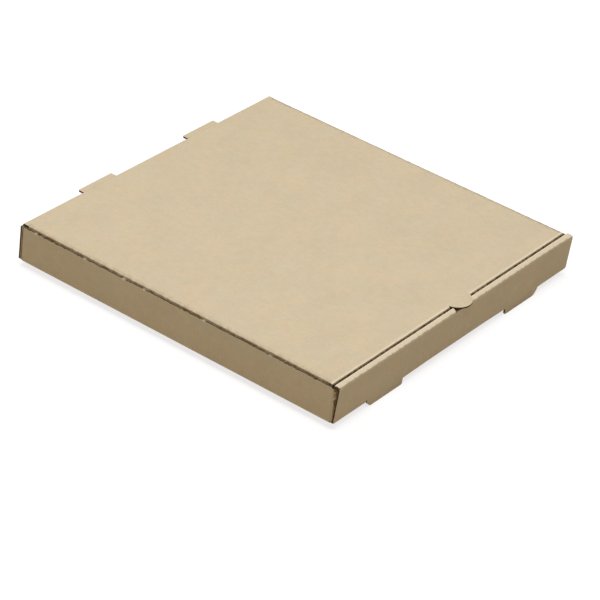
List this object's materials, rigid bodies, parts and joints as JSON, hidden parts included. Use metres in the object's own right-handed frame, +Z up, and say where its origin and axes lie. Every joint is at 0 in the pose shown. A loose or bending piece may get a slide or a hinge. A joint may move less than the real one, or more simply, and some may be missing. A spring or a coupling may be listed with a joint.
{
  "type": "pizza box",
  "caption": "Flat square pizza box folded from plain brown corrugated board, with a rolled front wall, tuck-in hinged lid, half-moon thumb tab and foot tabs.",
  "frame": {"origin": "on the surface the box stands on, under the middle of its outline seen from above, tabs included", "axes": "+X along the front edge to the right, +Y from the front wall to the hinge crease, +Z up"},
  "size_m": [0.33, 0.33, 0.039],
  "materials": {
    "kraft_board": "matt uncoated brown kraft paper over fine flutes"
  },
  "bodies": {
    "tray": {"tray": "kraft_board"},
    "lid": {"lid": "kraft_board"}
  },
  "joints": [
    {"name": "lid_hinge", "type": "hinge", "parent": "tray", "child": "lid", "pos_m": [0, 0.1596, 0.0382], "axis": [-1, 0, 0], "range_deg": [0, 180]}
  ]
}
